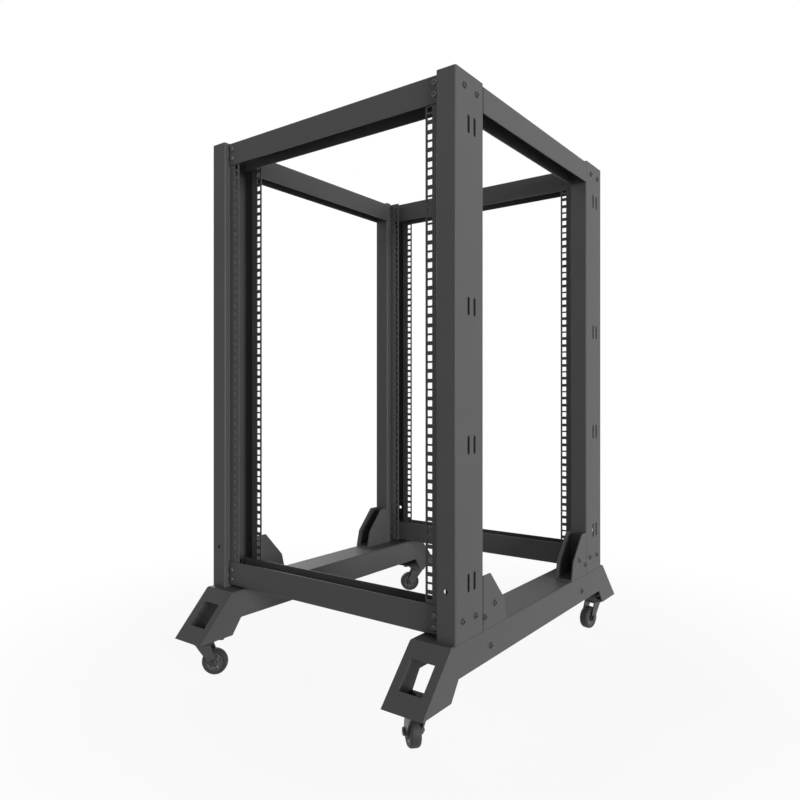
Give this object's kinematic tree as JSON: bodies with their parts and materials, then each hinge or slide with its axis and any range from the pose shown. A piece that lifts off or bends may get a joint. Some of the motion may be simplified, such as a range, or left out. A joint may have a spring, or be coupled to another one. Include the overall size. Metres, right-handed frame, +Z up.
{
  "type": "four post open frame rack",
  "caption": "Open steel equipment rack: bent sheet posts with square-hole mounting strips, joined by channel bars, on channel rails with windowed feet and swivel casters.",
  "frame": {"origin": "Middle of the footprint, on the floor.", "axes": "+Z up; +Y from the front to the rear; +X to the right seen from the front."},
  "size_m": [0.5774, 0.821, 1.055],
  "materials": {
    "frame_paint": "charcoal black powder coat, fine grain, low sheen",
    "caster_metal": "black coated pressed steel",
    "axle_metal": "blackened bolt",
    "wheel_hub": "black moulded nylon",
    "wheel_tyre": "dark grey rubber tread"
  },
  "bodies": {
    "rack_frame": {"post_front_left": "frame_paint", "post_front_right": "frame_paint", "post_rear_left": "frame_paint", "post_rear_right": "frame_paint", "base_rail_left": "frame_paint", "base_rail_right": "frame_paint", "top_bar_front": "frame_paint", "top_bar_rear": "frame_paint", "top_bar_left": "frame_paint", "top_bar_right": "frame_paint", "bottom_bar_front": "frame_paint", "bottom_bar_rear": "frame_paint", "gusset_front_left": "frame_paint", "gusset_front_right": "frame_paint", "gusset_rear_left": "frame_paint", "gusset_rear_right": "frame_paint", "caster_plate_front_left": "caster_metal", "caster_plate_front_right": "caster_metal", "caster_plate_rear_left": "caster_metal", "caster_plate_rear_right": "caster_metal"},
    "swivel_front_left": {"caster_fork_front_left": "caster_metal", "caster_axle_front_left": "axle_metal"},
    "wheel_front_left": {"caster_hub_front_left": "wheel_hub", "caster_tyre_front_left": "wheel_tyre"},
    "swivel_front_right": {"caster_fork_front_right": "caster_metal", "caster_axle_front_right": "axle_metal"},
    "wheel_front_right": {"caster_hub_front_right": "wheel_hub", "caster_tyre_front_right": "wheel_tyre"},
    "swivel_rear_left": {"caster_fork_rear_left": "caster_metal", "caster_axle_rear_left": "axle_metal"},
    "wheel_rear_left": {"caster_hub_rear_left": "wheel_hub", "caster_tyre_rear_left": "wheel_tyre"},
    "swivel_rear_right": {"caster_fork_rear_right": "caster_metal", "caster_axle_rear_right": "axle_metal"},
    "wheel_rear_right": {"caster_hub_rear_right": "wheel_hub", "caster_tyre_rear_right": "wheel_tyre"}
  },
  "joints": [
    {"name": "swivel_front_left", "type": "hinge", "parent": "rack_frame", "child": "swivel_front_left", "pos_m": [-0.251, -0.37055, 0.0715], "axis": [0, 0, 1], "continuous": true},
    {"name": "roll_front_left", "type": "hinge", "parent": "swivel_front_left", "child": "wheel_front_left", "pos_m": [-0.2332, -0.35762, 0.025], "axis": [0.5878, -0.809, 0], "continuous": true},
    {"name": "swivel_front_right", "type": "hinge", "parent": "rack_frame", "child": "swivel_front_right", "pos_m": [0.251, -0.37055, 0.0715], "axis": [0, 0, 1], "continuous": true},
    {"name": "roll_front_right", "type": "hinge", "parent": "swivel_front_right", "child": "wheel_front_right", "pos_m": [0.23465, -0.35583, 0.025], "axis": [0.6691, 0.7431, 0], "continuous": true},
    {"name": "swivel_rear_left", "type": "hinge", "parent": "rack_frame", "child": "swivel_rear_left", "pos_m": [-0.251, 0.37055, 0.0715], "axis": [0, 0, 1], "continuous": true},
    {"name": "roll_rear_left", "type": "hinge", "parent": "swivel_rear_left", "child": "wheel_rear_left", "pos_m": [-0.26656, 0.35499, 0.025], "axis": [-0.7071, 0.7071, 0], "continuous": true},
    {"name": "swivel_rear_right", "type": "hinge", "parent": "rack_frame", "child": "swivel_rear_right", "pos_m": [0.251, 0.37055, 0.0715], "axis": [0, 0, 1], "continuous": true},
    {"name": "roll_rear_right", "type": "hinge", "parent": "swivel_rear_right", "child": "wheel_rear_right", "pos_m": [0.24794, 0.34876, 0.025], "axis": [-0.9903, 0.1392, 0], "continuous": true}
  ]
}
